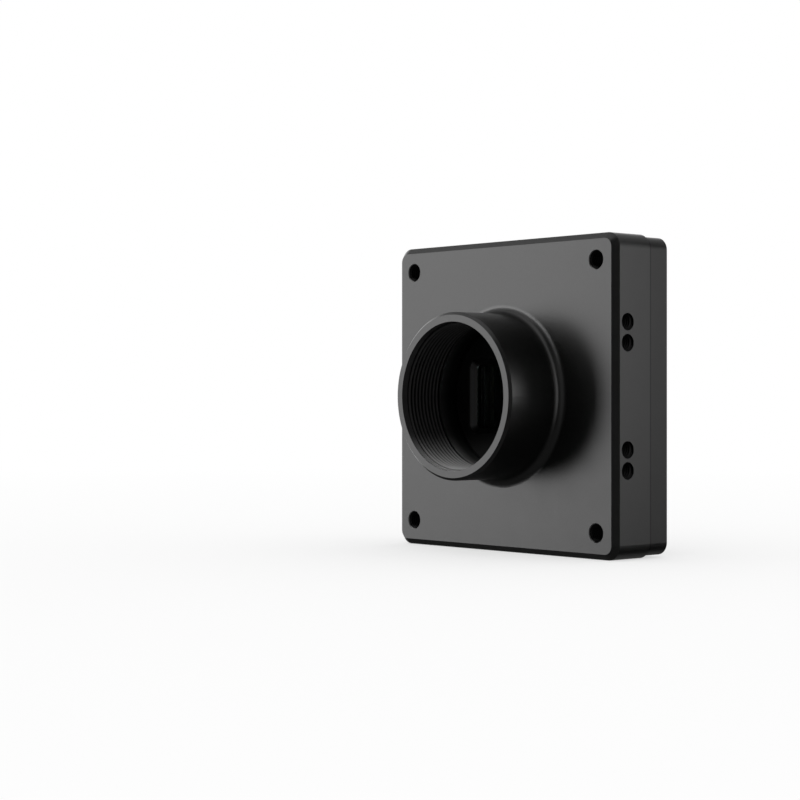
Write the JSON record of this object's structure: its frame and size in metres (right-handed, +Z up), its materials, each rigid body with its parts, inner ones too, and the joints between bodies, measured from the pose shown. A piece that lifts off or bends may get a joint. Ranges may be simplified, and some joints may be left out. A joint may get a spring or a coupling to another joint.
{
  "type": "machine vision camera",
  "caption": "Compact square camera for machine vision: threaded lens collar on a plain front plate, screwed rear cover with a network jack and a small signal header.",
  "frame": {"origin": "centre of the lens flange face, where the optical axis leaves the collar", "axes": "-Y along the optical axis towards the scene, +Y towards the connectors, +Z up, +X to the right seen from the front"},
  "size_m": [0.054, 0.0357, 0.054],
  "materials": {
    "housing_alloy": "dark grey anodised, satin",
    "cover_alloy": "dark grey anodised, satin",
    "seal_rubber": "matt",
    "screw_steel": "bright",
    "small_screw_steel": "plain",
    "filter_glass": "coated, polished",
    "cover_glass": "polished",
    "frame_alloy": "black anodised, matt",
    "silicon": "mirror-dark",
    "ceramic": "matt",
    "board": "varnished",
    "spacer_steel": "plain",
    "connector_plastic": "matt",
    "chip_plastic": "matt",
    "pad_silicone": "soft",
    "crystal_can": "plain",
    "magnetics_plastic": "matt",
    "ferrite": "matt",
    "capacitor_body": "matt",
    "jack_plastic": "fine satin",
    "header_plastic": "fine satin",
    "gold_contact": "gold plated",
    "led_body": "clear",
    "pipe_plastic": "smoked, clear"
  },
  "bodies": {
    "root": {"front_housing": "housing_alloy", "rear_cover": "cover_alloy", "cover_gasket": "seal_rubber", "cover_screws": "screw_steel", "filter_seal": "seal_rubber", "filter_glass": "filter_glass", "filter_frame": "frame_alloy", "filter_frame_screws": "small_screw_steel", "dust_seal": "seal_rubber", "sensor_glass": "cover_glass", "sensor_die": "silicon", "sensor_package": "ceramic", "sensor_board": "board", "main_board": "board", "board_screws": "small_screw_steel", "board_spacers": "spacer_steel", "stack_plug": "connector_plastic", "stack_socket": "connector_plastic", "processor_chip": "chip_plastic", "thermal_pad": "pad_silicone", "network_chip": "chip_plastic", "flash_chip": "chip_plastic", "clock_crystal": "crystal_can", "magnetics_module": "magnetics_plastic", "jack_housing": "jack_plastic", "signal_header": "header_plastic", "status_led": "led_body", "light_pipe": "pipe_plastic", "memory_chip_1": "chip_plastic", "bulk_capacitor_1": "capacitor_body", "signal_isolator_1": "chip_plastic", "power_inductor_1": "ferrite", "sensor_regulator_1": "chip_plastic", "memory_chip_2": "chip_plastic", "bulk_capacitor_2": "capacitor_body", "signal_isolator_2": "chip_plastic", "power_inductor_2": "ferrite", "sensor_regulator_2": "chip_plastic", "jack_contact_1": "gold_contact", "signal_pin_1": "gold_contact", "jack_contact_2": "gold_contact", "signal_pin_2": "gold_contact", "jack_contact_3": "gold_contact", "signal_pin_3": "gold_contact", "jack_contact_4": "gold_contact", "signal_pin_4": "gold_contact", "jack_contact_5": "gold_contact", "signal_pin_5": "gold_contact", "jack_contact_6": "gold_contact", "signal_pin_6": "gold_contact", "jack_contact_7": "gold_contact", "signal_pin_7": "gold_contact", "jack_contact_8": "gold_contact", "signal_pin_8": "gold_contact"}
  },
  "joints": []
}
